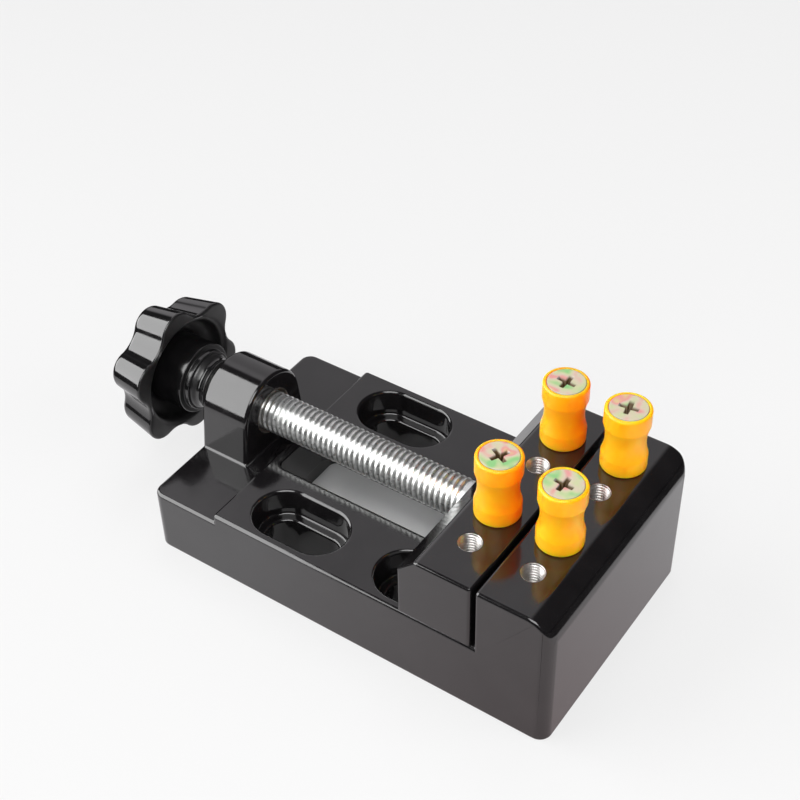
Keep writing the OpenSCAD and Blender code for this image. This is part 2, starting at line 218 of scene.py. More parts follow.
def piece(name, mesh, body, slot, replaced=(), material=None):
    """Puts a mesh into the scene, on a body, in the place of CAD nodes. It gets its slot's finish, or a
    material of its own."""
    made = added(name, mesh)
    mesh.materials.clear()
    mesh.materials.append(material or MATERIALS[slot])
    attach(made, body)
    if replaced:
        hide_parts(*replaced)
    return made


def finished(shape, name):
    """Turns a bmesh into a smooth mesh with outward faces."""
    bmesh.ops.recalc_face_normals(shape, faces=shape.faces)
    mesh = bpy.data.meshes.new(name)
    shape.to_mesh(mesh)
    shape.free()
    mesh.polygons.foreach_set("use_smooth", [True] * len(mesh.polygons))
    return mesh


def even_normals(made):
    """Large faces stay flat while the small rounding faces between them blend."""
    weighted = made.modifiers.new("even_normals", "WEIGHTED_NORMAL")
    weighted.mode = "FACE_AREA"
    weighted.weight = 50


def round_edges(made, width):
    """Rounds the edges of a small piece where its faces meet at a clear angle."""
    rounding = made.modifiers.new("rounding", "BEVEL")
    rounding.width = width * MM
    rounding.segments = 2
    rounding.limit_method = "ANGLE"
    rounding.angle_limit = EDGE_ANGLE


def loft(name, loops, ring=False):
    """A closed surface through loops of equally many points. A ring joins the last loop to the first."""
    shape = bmesh.new()
    rows = [[shape.verts.new(point) for point in loop] for loop in loops]
    pairs = list(zip(rows, rows[1:]))
    if ring:
        pairs.append((rows[-1], rows[0]))
    count = len(rows[0])
    for low, high in pairs:
        for i in range(count):
            j = (i + 1) % count
            shape.faces.new((low[i], low[j], high[j], high[i]))
    if not ring:
        shape.faces.new(rows[0])
        shape.faces.new(rows[-1])
    return finished(shape, name)


def arc(centre, radius, start, end, steps):
    """Points of an arc in a half section, as (distance from the axis, distance along it)."""
    points = []
    for i in range(steps + 1):
        angle = math.radians(start + (end - start) * i / steps)
        points.append((centre[0] + radius * math.cos(angle), centre[1] + radius * math.sin(angle)))
    return points


def turns(steps):
    """Equal angles round a circle."""
    return [2 * math.pi * i / steps for i in range(steps)]


def upright_loops(section, x, y, z):
    """Loops of a half section turned about an upright axis."""
    angles = turns(ROUND_STEPS)
    return [[place(x + r * math.cos(a), y + r * math.sin(a), z + h) for a in angles] for r, h in section]


def screw_axis_loops(section):
    """Loops of a half section turned about the lead screw's axis."""
    angles = turns(ROUND_STEPS)
    return [[place(x, r * math.cos(a), SCREW_Z + r * math.sin(a)) for a in angles] for r, x in section]


def thread(length, pitch, radius_at, point_at):
    """A right-hand helical surface from 0 to length, open at both ends. radius_at(along, height) gives its
    radius, point_at(along, radius, turn) its place."""
    shape = bmesh.new()
    steps = len(THREAD_OUTLINE)
    pitches_with_run_out = int(math.ceil(length / pitch)) + 2
    rows = []
    for k in range(pitches_with_run_out * steps + 1):
        share, height = THREAD_OUTLINE[k % steps]
        row = []
        for i, turn in enumerate(turns(THREAD_STEPS)):
            along = (k // steps - 1 + share + i / THREAD_STEPS) * pitch
            along = min(max(along, 0.0), length)
            row.append(shape.verts.new(point_at(along, radius_at(along, height), turn)))
        rows.append(row)
    for k in range(len(rows) - 1):
        for i in range(THREAD_STEPS - 1):
            shape.faces.new((rows[k][i], rows[k][i + 1], rows[k + 1][i + 1], rows[k + 1][i]))
        if k + steps + 1 < len(rows):
            far, near = rows[k + steps], rows[k + steps + 1]
            shape.faces.new((rows[k][-1], far[0], near[0], rows[k + 1][-1]))
    bmesh.ops.remove_doubles(shape, verts=shape.verts, dist=MERGE)
    bmesh.ops.dissolve_degenerate(shape, edges=shape.edges, dist=MERGE)
    return shape


def open_edges(shape):
    """The rims of an open surface."""
    return [edge for edge in shape.edges if edge.is_boundary]


def extruded(shape, rim):
    """Grows a surface from a rim. Gives the new points and the new rim."""
    grown = bmesh.ops.extrude_edge_only(shape, edges=rim)["geom"]
    points = [item for item in grown if isinstance(item, bmesh.types.BMVert)]
    new_rim = [item for item in grown if isinstance(item, bmesh.types.BMEdge) and item.is_boundary]
    return points, new_rim


# Node trees

# Sockets of a Mix node that blends two colours
MIX_COLOURS = (6, 7)
MIX_RESULT = 2
# Values between which most of a noise lies
NOISE_REACH = (0.3, 0.7)


class Nodes:
    """A node tree and short ways to fill it."""

    def __init__(self, tree):
        self.tree = tree

    def add(self, kind, **settings):
        node = self.tree.nodes.new(kind)
        for name, value in settings.items():
            setattr(node, name, value)
        return node

    def link(self, output, target):
        self.tree.links.new(output, target)

    def coordinates(self, kind):
        return self.add("ShaderNodeTexCoord").outputs[kind]

    def split(self, vector):
        """The X, Y and Z of a vector."""
        node = self.add("ShaderNodeSeparateXYZ")
        self.link(vector, node.inputs["Vector"])
        return node.outputs

    def measured(self, operation, vector, fixed):
        """A measure of a vector against a fixed one."""
        node = self.add("ShaderNodeVectorMath", operation=operation)
        self.link(vector, node.inputs[0])
        node.inputs[1].default_value = fixed
        return node.outputs["Value"]

    def math(self, operation, first, second=None):
        """One sum of one or two values, each a socket or a number."""
        node = self.add("ShaderNodeMath", operation=operation)
        for target, value in zip(node.inputs, (first, second)):
            if value is None:
                continue
            if isinstance(value, (int, float)):
                target.default_value = value
            else:
                self.link(value, target)
        return node.outputs["Value"]

    def between(self, value, low, high, start=0.0, end=1.0):
        """Maps a value from start..end to low..high."""
        node = self.add("ShaderNodeMapRange")
        for name, number in (("From Min", start), ("From Max", end), ("To Min", low), ("To Max", high)):
            node.inputs[name].default_value = number
        self.link(value, node.inputs["Value"])
        return node.outputs["Result"]

    def ramp(self, value, stops):
        """Colours along a value, as (place, colour) stops."""
        node = self.add("ShaderNodeValToRGB")
        elements = node.color_ramp.elements
        while len(elements) < len(stops):
            elements.new(0.5)
        for element, (position, colour) in zip(elements, stops):
            element.position = position
            element.color = (*colour, 1.0)
        self.link(value, node.inputs["Fac"])
        return node.outputs["Color"]

    def mix(self, share, first, second):
        """Blends two colours, each a socket or a colour."""
        node = self.add("ShaderNodeMix", data_type="RGBA")
        self.link(share, node.inputs["Factor"])
        for socket, value in zip(MIX_COLOURS, (first, second)):
            if isinstance(value, tuple):
                node.inputs[socket].default_value = (*value, 1.0)
            else:
                self.link(value, node.inputs[socket])
        return node.outputs[MIX_RESULT]


class Paint(Nodes):
    """A material and the nodes that colour it."""

    def __init__(self, name):
        self.material = bpy.data.materials.new(name)
        self.material.use_nodes = True
        super().__init__(self.material.node_tree)
        self.shader = self.tree.nodes["Principled BSDF"]
        self.where = self.coordinates("Object")

    def outward(self):
        """The way that the surface faces."""
        return self.add("ShaderNodeNewGeometry").outputs["Normal"]

    def from_screw_axis(self):
        """The distance from the lead screw's axis, in metres."""
        parts = self.split(self.where)
        across = parts["Y"]
        up = self.math("SUBTRACT", parts["Z"], SCREW_Z * MM)
        squares = self.math("ADD", self.math("MULTIPLY", up, up), self.math("MULTIPLY", across, across))
        return self.math("SQRT", squares)

    def noise(self, scale, detail, roughness=0.5, where=None):
        """Grain of about 1 / scale metres."""
        node = self.add("ShaderNodeTexNoise")
        node.inputs["Scale"].default_value = scale
        node.inputs["Detail"].default_value = detail
        node.inputs["Roughness"].default_value = roughness
        self.link(where or self.where, node.inputs["Vector"])
        return node.outputs["Fac"]

    def drawn(self, squeeze):
        """Coordinates squeezed along the screw, for grain that runs round a turned or ground piece."""
        node = self.add("ShaderNodeMapping")
        node.inputs["Scale"].default_value = (squeeze, 1.0, 1.0)
        self.link(self.where, node.inputs["Vector"])
        return node.outputs["Vector"]

    def varied(self, grain, low, high):
        """Maps the usual reach of a noise to low..high."""
        return self.between(grain, low, high, *NOISE_REACH)

    def bump(self, height, depth, after=None):
        """Turns a height into a normal. depth is the height of a full step."""
        node = self.add("ShaderNodeBump")
        node.inputs["Distance"].default_value = depth * MM
        self.link(height, node.inputs["Height"])
        if after:
            self.link(after, node.inputs["Normal"])
        return node.outputs["Normal"]

    def colour(self, socket):
        self.link(socket, self.shader.inputs["Base Color"])

    def roughness(self, socket):
        self.link(socket, self.shader.inputs["Roughness"])

    def metallic(self, socket):
        self.link(socket, self.shader.inputs["Metallic"])

    def normal(self, socket):
        self.link(socket, self.shader.inputs["Normal"])

    def set(self, **values):
        for name, value in values.items():
            self.shader.inputs[name.replace("_", " ")].default_value = value


# Materials

# Roughness and refraction of what is glossy and black
BLACK_GLOSS = (0.07, 0.15)
BLACK_IOR = 1.7
# How far the bare metal of the bore's mouth reaches past its edge and past the post's face, and how much
# rougher it is than the paint
BARE_EDGE = 0.1
BARE_REACH = 1.0
BARE_ROUGHNESS = 0.25
# Where the hollow's dull skin starts behind the knob's face, how far it reaches past the hollow's walls, at
# what slope towards the back it starts and is full, and how much rougher it is than the polished skin
DULL_START = 4.0
DULL_RIM_MARGIN = 0.6
DULL_HUB_MARGIN = 0.4
DULL_SLOPE = (0.25, 0.6)
DULL_ROUGHNESS = 0.38
# How far out from the roots of the lead screw's thread the painted shade reaches
ROOT_SHADE_HEIGHT = 0.14
# Depths under a peg screw's top between which painted shade darkens its recess, and slopes of its grey rim
RECESS_SHADE = (0.7, 0.12)
RIM_SLOPE = (0.75, 0.97)
# The way from the key lamp through a sleeve, along which the sleeves' painted shade turns redder
SHADED_SIDE_WAY = (0.82, 0.57, 0.0)
# Share of the far side's painted red shade that a sleeve keeps on the fixed jaw, and half the stretch of
# the change
FIXED_JAW_SHADE_SHARE = 0.45
RED_CHANGE = 1.0


def bare_bore(paint):
    """1 at the post's bore mouth, where the paint is cut away by the tap, and 0 elsewhere."""
    edge = (BORE_MOUTH_RADIUS * MM, (BORE_MOUTH_RADIUS + BARE_EDGE) * MM)
    near = paint.between(paint.from_screw_axis(), 1.0, 0.0, *edge)
    reach = place(POST_LENGTH + BARE_REACH, 0, 0).x
    at_post = paint.math("LESS_THAN", paint.split(paint.where)["X"], reach)
    return paint.math("MULTIPLY", near, at_post)


def cast_paint():
    """Glossy black stove enamel over a casting, with a faint orange peel."""
    paint = Paint("cast_paint")
    bare = bare_bore(paint)
    enamel = paint.ramp(paint.noise(140.0, 3.0), (
        (0.3, (0.0042, 0.0038, 0.0042)),
        (0.75, (0.0070, 0.0063, 0.0068)),
    ))
    paint.colour(paint.mix(bare, enamel, (0.52, 0.47, 0.42)))
    paint.metallic(bare)
    gloss = paint.varied(paint.noise(260.0, 3.0), *BLACK_GLOSS)
    paint.roughness(paint.math("ADD", gloss, paint.math("MULTIPLY", bare, BARE_ROUGHNESS)))
    peel = paint.bump(paint.noise(520.0, 2.0), 0.006)
    paint.normal(paint.bump(paint.noise(1800.0, 1.0), 0.0012, after=peel))
    paint.set(IOR=BLACK_IOR)
    return paint.material


def knob_back(paint):
    """1 on the knob's back and in its hollow, which come unpolished from the mould, and 0 elsewhere."""
    back = paint.between(paint.split(paint.outward())["X"], 0.0, 1.0, *DULL_SLOPE)
    radius = paint.from_screw_axis()
    inside = paint.math("LESS_THAN", radius, (HOLLOW_RADIUS + DULL_RIM_MARGIN) * MM)
    outside_hub = paint.math("GREATER_THAN", radius, (HUB_STEPS[0][0] + DULL_HUB_MARGIN) * MM)
    start = place(HEAD_FRONT + DULL_START, 0, 0).x
    deep = paint.math("GREATER_THAN", paint.split(paint.where)["X"], start)
    hollow = paint.math("MULTIPLY", paint.math("MULTIPLY", inside, outside_hub), deep)
    return paint.math("MAXIMUM", back, hollow)


def knob_black():
    """Glossy black thermoset, moulded."""
    paint = Paint("knob_black")
    paint.colour(paint.ramp(paint.noise(220.0, 2.0), (
        (0.3, (0.0030, 0.0029, 0.0032)),
        (0.8, (0.0055, 0.0052, 0.0055)),
    )))
    gloss = paint.varied(paint.noise(400.0, 3.0), *BLACK_GLOSS)
    paint.roughness(paint.math("ADD", gloss, paint.math("MULTIPLY", knob_back(paint), DULL_ROUGHNESS)))
    paint.normal(paint.bump(paint.noise(600.0, 2.0), 0.004))
    paint.set(IOR=BLACK_IOR)
    return paint.material


def sleeve_amber():
    """Translucent amber plastic with a satin skin, in which red light travels farther than yellow. Its
    colour
    also carries painted shade: the side away from the key lamp is painted redder, most of all where it
    faces another sleeve, on the moving jaw."""
    paint = Paint("sleeve_amber")
    # Painted shade: the colour turns redder on the side away from the key lamp, more so on the moving jaw
    depth = paint.between(paint.measured("DOT_PRODUCT", paint.outward(), SHADED_SIDE_WAY), 0.1, 0.9, -1.0, 1.0)
    change = [place(JAW_FRONT + side * RED_CHANGE, 0, 0).x for side in (-1, 1)]
    share = paint.between(paint.split(paint.where)["X"], 1.0, FIXED_JAW_SHADE_SHARE, *change)
    cloud = paint.varied(paint.noise(180.0, 3.0), -0.1, 0.1)
    paint.colour(paint.ramp(paint.math("ADD", paint.math("MULTIPLY", depth, share), cloud), (
        (0.0, (1.0, 0.44, 0.007)),
        (0.5, (1.0, 0.33, 0.004)),
        (1.0, (1.0, 0.13, 0.0015)),
    )))
    paint.roughness(paint.varied(paint.noise(900.0, 3.0), 0.30, 0.42))
    paint.normal(paint.bump(paint.noise(1500.0, 3.0), 0.006))
    paint.set(Subsurface_Weight=1.0, Subsurface_Radius=(1.0, 0.22, 0.03), Subsurface_Scale=5.0 * MM)
    return paint.material


def zinc():
    """Bright zinc plate on steel, slightly milky, with fine turned grain and painted shade darkening the
    thread's roots.
    """
    paint = Paint("zinc")
    plate = paint.ramp(paint.noise(300.0, 4.0), (
        (0.25, (0.80, 0.81, 0.80)),
        (0.55, (0.88, 0.89, 0.88)),
        (0.8, (0.94, 0.94, 0.92)),
    ))
    # Painted shade: the thread's roots are darker than the plate
    root_shade = paint.between(paint.from_screw_axis(), 1.0, 0.0, SCREW_ROOT * MM, (SCREW_ROOT + ROOT_SHADE_HEIGHT) * MM)
    paint.colour(paint.mix(root_shade, plate, (0.42, 0.43, 0.42)))
    paint.roughness(paint.varied(paint.noise(1500.0, 3.0), 0.25, 0.36))
    paint.normal(paint.bump(paint.noise(400.0, 3.0, where=paint.drawn(12.0)), 0.0015))
    paint.set(Metallic=0.95)
    return paint.material


def chromate():
    """Yellow chromate over zinc, with its pink and green clouds, grey on the rim and painted shade
    darkening the recess.
    """
    paint = Paint("chromate")
    plating = paint.ramp(paint.noise(240.0, 1.0, roughness=0.6), (
        (0.30, (0.22, 0.46, 0.18)),
        (0.42, (0.46, 0.49, 0.28)),
        (0.52, (0.52, 0.44, 0.34)),
        (0.61, (0.60, 0.25, 0.24)),
        (0.74, (0.54, 0.44, 0.21)),
    ))
    rim = paint.between(paint.split(paint.outward())["Z"], 1.0, 0.0, *RIM_SLOPE)
    plating = paint.mix(rim, plating, (0.27, 0.25, 0.24))
    # Painted shade: the colour darkens down into the driver's recess
    shade = [(PEG_TOP - depth) * MM for depth in RECESS_SHADE]
    sunk = paint.between(paint.split(paint.where)["Z"], 1.0, 0.0, *shade)
    paint.colour(paint.mix(sunk, plating, (0.085, 0.050, 0.018)))
    paint.roughness(paint.varied(paint.noise(1200.0, 3.0), 0.30, 0.44))
    paint.normal(paint.bump(paint.noise(2500.0, 2.0), 0.004))
    paint.set(Metallic=0.35)
    return paint.material


def grained(name, scale, detail, dark, pale, roughness, depth, metallic, squeeze=1.0):
    """A metal whose colour, roughness and relief follow one grain."""
    paint = Paint(name)
    grain = paint.noise(scale, detail, where=paint.drawn(squeeze))
    paint.colour(paint.ramp(grain, tuple(zip(NOISE_REACH, (dark, pale)))))
    paint.roughness(paint.varied(grain, *roughness))
    paint.normal(paint.bump(grain, depth))
    paint.set(Metallic=metallic)
    return paint.material


def steel():
    """Plain steel with a ground grain."""
    return grained("steel", scale=500.0, detail=4.0, dark=(0.42, 0.43, 0.44), pale=(0.60, 0.61, 0.62),
                   roughness=(0.28, 0.45), depth=0.004, metallic=1.0, squeeze=8.0)


def dull_plate():
    """Steel plate with a dull grey phosphate coat."""
    return grained("dull_plate", scale=700.0, detail=4.0, dark=(0.30, 0.30, 0.31), pale=(0.42, 0.42, 0.43),
                   roughness=(0.40, 0.55), depth=0.006, metallic=0.15)


def brass():
    """Turned brass."""
    return grained("brass", scale=500.0, detail=4.0, dark=(0.56, 0.40, 0.15), pale=(0.74, 0.55, 0.24),
                   roughness=(0.22, 0.38), depth=0.004, metallic=1.0, squeeze=10.0)


def bare_alloy():
    """Freshly tapped casting alloy."""
    return grained("bare_alloy", scale=900.0, detail=3.0, dark=(0.42, 0.40, 0.385), pale=(0.62, 0.60, 0.58),
                   roughness=(0.30, 0.44), depth=0.004, metallic=0.95)


MATERIALS = {
    "cast_paint": cast_paint(),
    "knob_black": knob_black(),
    "sleeve_amber": sleeve_amber(),
    "zinc": zinc(),
    "chromate": chromate(),
    "steel": steel(),
    "brass": brass(),
}
BARE_ALLOY = bare_alloy()

# Castings with softened edges

WELD = 1e-6
FLAT_ANGLE = math.radians(1)
SHARP_ANGLE = math.radians(24)
WIDEST_ROUNDING = 1.0
ROUNDING_SEGMENTS = 4
# Roundings by the place of an edge
HOLE_ROUNDING = 0.08
BORE_ROUNDING = 0.2
CHANNEL_END_ROUNDING = 0.25
LOW_ROUNDING = 0.3
FOOT_ROUNDING = 0.4
POCKET_ROUNDING = 0.7
BASE_OUTER_ROUNDING = 0.95
BASE_INNER_ROUNDING = 0.6
JAW_OUTER_ROUNDING = 0.8
JAW_INNER_ROUNDING = 0.5
# Reach of those places: round and under a tapped hole, round the screw and past the post's face, across the
# channel and back from its end, above the table, and above the rails for the moving jaw
HOLE_ZONE = 3.2
HOLE_FOOT_ZONE = 1.0
BORE_ZONE = 7.0
POST_ZONE = 0.5
CHANNEL_ZONE = 10.0
CHANNEL_END_ZONE = 1.5
LOW_ZONE = 8.0
JAW_FOOT_ZONE = 0.3
# Share of a tapped hole's depth down to which it is widened
WIDENED_SHARE = 1.1
# How near a point has to be to count as on a face, and on the wall of a tapped hole
ON_FACE = 0.1
ON_WALL = 0.02


def widen_tapped_holes(shape):
    """Makes room for the thread in the holes that no peg fills."""
    for x in (MOVING_HOLES_X, FIXED_HOLES_X):
        for y in EMPTY_HOLES_Y:
            mouth = place(x, y, JAW_TOP)
            deepest = mouth.z - WIDENED_SHARE * TAP_DEPTH * MM
            for vertex in shape.verts:
                out = Vector((vertex.co.x - mouth.x, vertex.co.y - mouth.y, 0))
                if abs(out.length - TAP_RADIUS * MM) < ON_WALL * MM and vertex.co.z > deepest:
                    out.length = TAP_WALL_RADIUS * MM
                    vertex.co.x = mouth.x + out.x
                    vertex.co.y = mouth.y + out.y


def near_hole(x, y, z, holes_x):
    """True at a tapped hole's mouth, wall or bottom."""
    beside = any(math.hypot(x - holes_x, y - hole_y) < HOLE_ZONE for hole_y in HOLES_Y)
    return beside and z > JAW_TOP - TAP_DEPTH - HOLE_FOOT_ZONE


def base_rounding(x, y, z, outward):
    """How far an edge of the base is rounded."""
    if near_hole(x, y, z, FIXED_HOLES_X):
        return HOLE_ROUNDING
    if x < POST_LENGTH + POST_ZONE and math.hypot(y, z - SCREW_Z) < BORE_ZONE:
        return BORE_ROUNDING
    at_channel_end = CHANNEL_END - CHANNEL_END_ZONE < x < FIXED_FACE + ON_FACE
    if at_channel_end and abs(y) < CHANNEL_ZONE and z < RAIL_TOP + ON_FACE:
        return CHANNEL_END_ROUNDING
    if z < ON_FACE:
        return FOOT_ROUNDING
    if z < LOW_ZONE:
        return LOW_ROUNDING
    if abs(z - POCKET_FLOOR) < ON_FACE:
        return POCKET_ROUNDING
    return BASE_OUTER_ROUNDING if outward else BASE_INNER_ROUNDING


def jaw_rounding(x, y, z, outward):
    """How far an edge of the moving jaw is rounded."""
    if near_hole(x, y, z, MOVING_HOLES_X):
        return HOLE_ROUNDING
    if z < RAIL_TOP + JAW_FOOT_ZONE:
        return LOW_ROUNDING
    if math.hypot(y, z - SCREW_Z) < BORE_ZONE:
        return BORE_ROUNDING
    return JAW_OUTER_ROUNDING if outward else JAW_INNER_ROUNDING


def softened(node, name, body, rounding_at):
    """A copy of a casting whose sharp edges are rounded by rounding_at(x, y, z, outward)."""
    shape = bmesh.new()
    shape.from_mesh(frame["nodes"][node].data)
    bmesh.ops.remove_doubles(shape, verts=shape.verts, dist=WELD)
    widen_tapped_holes(shape)
    bmesh.ops.dissolve_limit(shape, angle_limit=FLAT_ANGLE, verts=shape.verts, edges=shape.edges,
                             use_dissolve_boundaries=False)
    weights = shape.edges.layers.float.new("bevel_weight_edge")
    for edge in shape.edges:
        if len(edge.link_faces) == 2 and edge.calc_face_angle() > SHARP_ANGLE:
            middle = (edge.verts[0].co + edge.verts[1].co) / 2
            x, y, z = (middle.x - KNOB_END) / MM, middle.y / MM, middle.z / MM
            edge[weights] = rounding_at(x, y, z, edge.is_convex) / WIDEST_ROUNDING
    mesh = finished(shape, name)
    for attribute in [a for a in mesh.attributes if a.name == "custom_normal"]:
        mesh.attributes.remove(attribute)
    made = piece(name, mesh, body, "cast_paint", (node,))
    rounding = made.modifiers.new("rounding", "BEVEL")
    rounding.limit_method = "WEIGHT"
    rounding.width = WIDEST_ROUNDING * MM
    rounding.segments = ROUNDING_SEGMENTS
    rounding.use_clamp_overlap = False
    even_normals(made)


softened("base", "base_casting", "bed", base_rounding)
softened("moving_jaw", "jaw_casting", "carriage", jaw_rounding)

# Threads in the empty holes


def thread_liner(name, x, y, body):
    """The bare thread of one tapped hole, with its countersunk mouth and a wall behind it."""
    top = JAW_TOP - LINER_DROP
    length = TAP_DEPTH - LINER_SHORTFALL
    bottom = place(x, y, top - length)

    def radius_at(along, height):
        inner = TAP_MAJOR_RADIUS - height * (TAP_MAJOR_RADIUS - TAP_RADIUS)
        return max(inner, TAP_MOUTH_RADIUS - MOUTH_GAP - along)

    def point_at(along, radius, turn):
        return place(x + radius * math.cos(-turn), y + radius * math.sin(-turn), top - along)

    shape = thread(length, TAP_PITCH, radius_at, point_at)
    rims = open_edges(shape)
    half_way = place(x, y, top - length / 2).z
    low_rim = [edge for edge in rims if edge.verts[0].co.z < half_way]
    high_rim = [edge for edge in rims if edge not in low_rim]
    wall_points, wall_rim = extruded(shape, high_rim)
    for vertex in wall_points:
        out = Vector((vertex.co.x - bottom.x, vertex.co.y - bottom.y, 0))
        out.length = (TAP_WALL_RADIUS - LINER_GAP) * MM
        vertex.co = Vector((bottom.x + out.x, bottom.y + out.y, vertex.co.z - LIP_DROP * MM))
    foot_points, foot_rim = extruded(shape, wall_rim)
    for vertex in foot_points:
        vertex.co.z = bottom.z
    bmesh.ops.bridge_loops(shape, edges=low_rim + foot_rim)
    piece(name, finished(shape, name), body, "cast_paint", material=BARE_ALLOY)


for side, y in zip(SIDES, EMPTY_HOLES_Y):
    for jaw, holes_x, body in JAWS:
        thread_liner(jaw + "_" + side + "_hole_thread", holes_x, y, body)

# Lead screw


def lead_screw_thread():
    """The threaded rod, whose thread fades out at both ends."""
    length = THREAD_END - SCREW_BACK

    def radius_at(along, height):
        fade = 2 * min(along, length - along) / SCREW_PITCH
        return SCREW_ROOT + height * (SCREW_CREST - SCREW_ROOT) * min(max(fade, 0), 1)

    def point_at(along, radius, turn):
        return place(SCREW_BACK + along, radius * math.cos(turn), SCREW_Z + radius * math.sin(turn))

    name = "lead_screw_thread"
    shape = thread(length, SCREW_PITCH, radius_at, point_at)
    bmesh.ops.holes_fill(shape, edges=open_edges(shape), sides=0)
    piece(name, finished(shape, name), "drive", "zinc", ("lead_screw",))


def lead_screw_nose():
    """The screw's collar and turned nose, with the groove for the retaining pins."""
    edge = TURNED_EDGE
    section = [(SCREW_ROOT, THREAD_END)]
    section += arc((COLLAR_RADIUS - edge, THREAD_END + edge), edge, -90, 0, 3)
    section += arc((COLLAR_RADIUS - edge, GROOVE_START - edge), edge, 0, 90, 3)
    section += arc((GROOVE_RADIUS + edge, GROOVE_START + edge), edge, 270, 180, 3)
    section += arc((GROOVE_RADIUS + edge, GROOVE_END - edge), edge, 180, 90, 3)
    section += arc((NOSE_RADIUS - edge, GROOVE_END + edge), edge, -90, 0, 3)
    section += [(radius, NOSE_END - setback) for radius, setback in NOSE_CHAMFER]
    name = "lead_screw_nose"
    even_normals(piece(name, loft(name, screw_axis_loops(section)), "drive", "zinc", ("lead_screw",)))


lead_screw_thread()
lead_screw_nose()

# Star knob


def star_outline():
    """Points and outward directions round the star, across (Y) and up (Z) from the screw's axis."""
    half = math.pi / LOBES
    scallop_centre = WAIST_RADIUS + SCALLOP_RADIUS
    spread = 2 * scallop_centre * math.cos(half)
    lobe_radius = (scallop_centre ** 2 + TIP_RADIUS ** 2 - SCALLOP_RADIUS ** 2 - TIP_RADIUS * spread) / (
        2 * SCALLOP_RADIUS + 2 * TIP_RADIUS - spread)
    lobe_centre = TIP_RADIUS - lobe_radius
    lean = math.atan2(scallop_centre * math.sin(half), scallop_centre * math.cos(half) - lobe_centre)
    outline = []

    def way(angle):
        return Vector((math.cos(angle), math.sin(angle)))

    for lobe in range(LOBES):
        turn = 2 * half * lobe + math.radians(LOBE_TURN)
        for i in range(LOBE_STEPS):
            out = way(turn - lean + 2 * lean * i / LOBE_STEPS)
            outline.append((lobe_centre * way(turn) + lobe_radius * out, out))
        for i in range(SCALLOP_STEPS):
            out = way(turn + lean + 2 * (half - lean) * i / SCALLOP_STEPS)
            outline.append((scallop_centre * way(turn + half) - SCALLOP_RADIUS * out, out))
    return outline


def neck_section(radius, start):
    """The shallow groove round the thin end of the hub."""
    length = HUB_END - NECK_SETBACKS[1] - start
    points = []
    for i in range(1, NECK_STEPS):
        sink = (radius - NECK_RADIUS) * math.sin(math.pi * i / NECK_STEPS)
        points.append((radius - sink, start + NECK_SETBACKS[0] + length * i / NECK_STEPS))
    return points


def hub_section():
    """The half section of the hollow and the stepped hub, from the hollow's lip to the hub's bore."""
    lip, bowl, foot, edge, corner = HOLLOW_LIP, HOLLOW_BOWL, HUB_FOOT_ROUND, HUB_EDGE, HUB_CORNER
    section = arc((HOLLOW_RADIUS + lip, HEAD_BACK - lip), lip, 90, 180, 8)
    section += arc((HOLLOW_RADIUS - bowl, HOLLOW_FLOOR + bowl), bowl, 0, -80, 10)
    section += arc((HUB_STEPS[0][0] + foot, HOLLOW_FLOOR + foot), foot, 260, 180, 6)
    for (radius, end), (next_radius, next_end) in zip(HUB_STEPS, HUB_STEPS[1:]):
        section += arc((radius - edge, end - edge), edge, 0, 90, 4)
        section += arc((next_radius + corner, end + corner), corner, 270, 180, 3)
        if next_end == HUB_END:
            section += neck_section(next_radius, end)
    section += arc((HUB_STEPS[-1][0] - edge, HUB_END - edge), edge, 0, 90, 4)
    section += arc((HUB_BORE + HUB_BORE_EDGE, HUB_END - HUB_BORE_EDGE), HUB_BORE_EDGE, 90, 180, 4)
    section.append((HUB_BORE, HUB_END - HUB_BORE_DEPTH))
    return section


def star_knob():
    """The lobed head with rounded rims, the round hollow in its back and the stepped hub."""
    outline = star_outline()
    ways = [point.normalized() for point, out in outline]

    def star_loop(inset, x):
        size = HEAD_TAPER + (1 - HEAD_TAPER) * (x - HEAD_FRONT) / HEAD_THICKNESS
        return [place(x, *(Vector((0, SCREW_Z)) + size * point - inset * out)) for point, out in outline]

    def round_loop(radius, x):
        return [place(x, radius * way.x, SCREW_Z + radius * way.y) for way in ways]

    loops = [round_loop(radius, HEAD_FRONT) for radius in FACE_LOOP_RADII]
    loops.append(star_loop(FRONT_RIM + FACE_MARGIN, HEAD_FRONT))
    for r, x in arc((0, 0), FRONT_RIM, 0, 90, 8):
        loops.append(star_loop(FRONT_RIM - x, HEAD_FRONT + FRONT_RIM - r))
    loops.append(star_loop(0.0, HEAD_BACK - BACK_RIM - FLANK_MARGIN))
    for r, x in arc((0, 0), BACK_RIM, 0, 90, 6):
        loops.append(star_loop(BACK_RIM - r, HEAD_BACK - BACK_RIM + x))
    loops += [round_loop(r, x) for r, x in hub_section()]
    name = "star_knob_moulding"
    even_normals(piece(name, loft(name, loops), "drive", "knob_black", ("star_knob",)))


star_knob()

# Pegs


